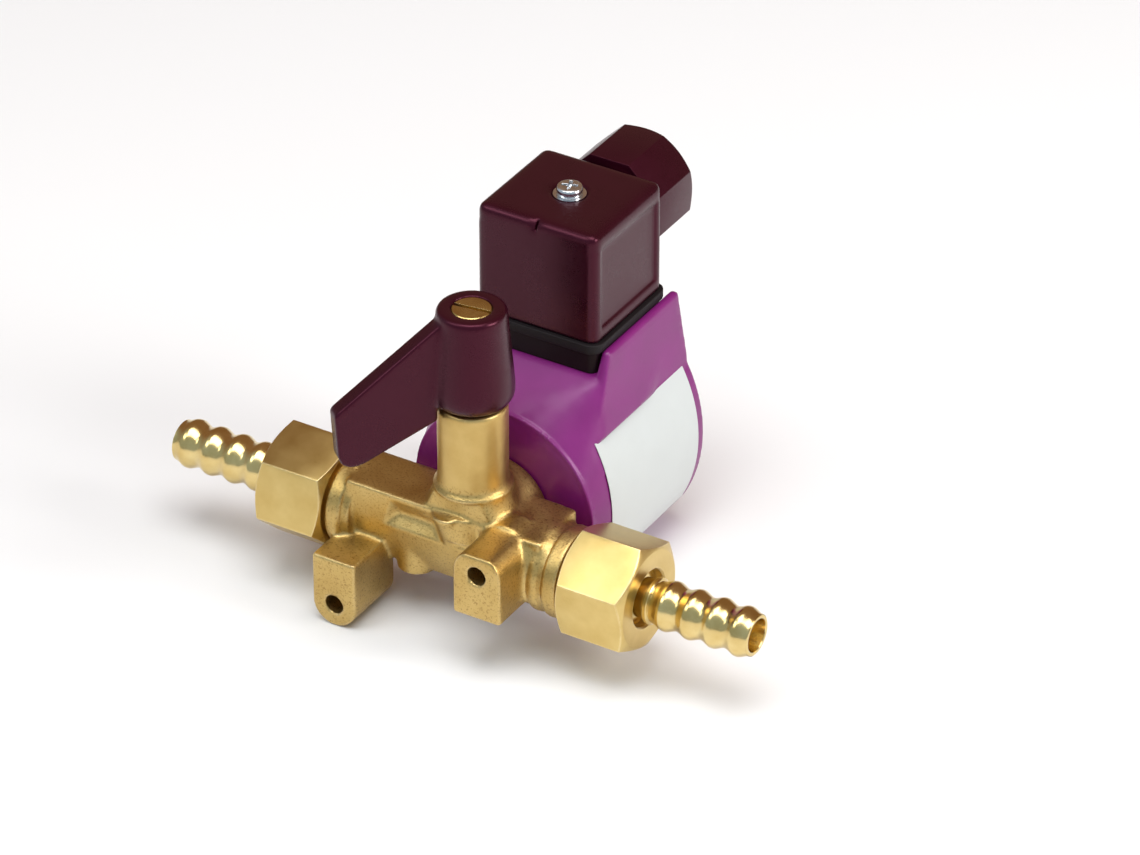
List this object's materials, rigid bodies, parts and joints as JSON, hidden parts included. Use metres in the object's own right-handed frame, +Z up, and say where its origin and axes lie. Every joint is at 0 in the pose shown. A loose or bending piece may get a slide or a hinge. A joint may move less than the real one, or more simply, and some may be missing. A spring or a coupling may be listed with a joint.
{
  "type": "solenoid valve",
  "caption": "In-line brass solenoid valve with a turret lever for manual bypass, ringed hose tails, mounting lugs and a plug-on cable connector.",
  "frame": {"origin": "middle of the bounding box in plan, on the surface the valve rests on", "axes": "+X along the flow to the outlet, +Y from the lugs to the coil and cable entry, +Z up along the turret"},
  "size_m": [0.1362, 0.0926, 0.0833],
  "materials": {
    "cast_brass": "hot-pressed brass, blasted and lightly tarnished, satin",
    "turned_brass": "turned and milled brass with fine tool marks",
    "bright_brass": "bright turned brass",
    "dark_plastic": "near-black moulded plastic with a warm tint and a soft gloss",
    "inner_plastic": "moulded glass-filled plastic",
    "purple_plastic": "purple moulding compound, satin",
    "white_plastic": "slippery white plastic",
    "white_label": "blank pale foil label",
    "black_rubber": "moulded rubber",
    "plated_steel": "zinc-plated steel",
    "stainless_steel": "ground stainless steel",
    "copper_wire": "enamelled copper wire, wound in layers"
  },
  "bodies": {
    "valve": {"valve_body": "cast_brass", "seat_insert": "turned_brass", "left_olive": "bright_brass", "right_olive": "bright_brass", "left_hose_tail": "bright_brass", "right_hose_tail": "bright_brass", "left_union_nut": "turned_brass", "right_union_nut": "turned_brass", "spindle_washer": "white_plastic", "packing_nut": "turned_brass", "guide_tube": "stainless_steel", "guide_tube_o_ring": "black_rubber", "plunger_spring": "stainless_steel", "fixed_core": "stainless_steel", "coil_housing": "purple_plastic", "coil_bobbin": "inner_plastic", "coil_winding": "copper_wire", "magnet_yoke": "plated_steel", "coil_label": "white_label", "coil_washer": "plated_steel", "coil_nut": "plated_steel", "terminal_base": "dark_plastic", "coil_terminals": "plated_steel", "connector_gasket": "black_rubber", "connector_housing": "dark_plastic", "connector_insert": "inner_plastic", "connector_contacts": "turned_brass", "contact_screws": "plated_steel", "connector_screw": "plated_steel", "connector_screw_washer": "plated_steel", "gland_nut": "dark_plastic", "gland_washer": "plated_steel", "gland_seal": "black_rubber"},
    "bypass_lever": {"spindle": "turned_brass", "spindle_o_rings": "black_rubber", "lever": "dark_plastic", "lever_screw": "turned_brass"},
    "armature": {"plunger": "stainless_steel", "plunger_seal": "black_rubber"}
  },
  "joints": [
    {"name": "bypass_turn", "type": "hinge", "parent": "valve", "child": "bypass_lever", "pos_m": [0.00255, -0.02274, 0.01935], "axis": [0, 0, 1], "range_deg": [-50, 40]},
    {"name": "plunger_lift", "type": "slide", "parent": "valve", "child": "armature", "axis": [0, 1, 0], "range_m": [0, 0.002], "stiffness_N_per_m": 300, "springref_m": -0.006, "deforming": ["plunger_spring"]}
  ]
}
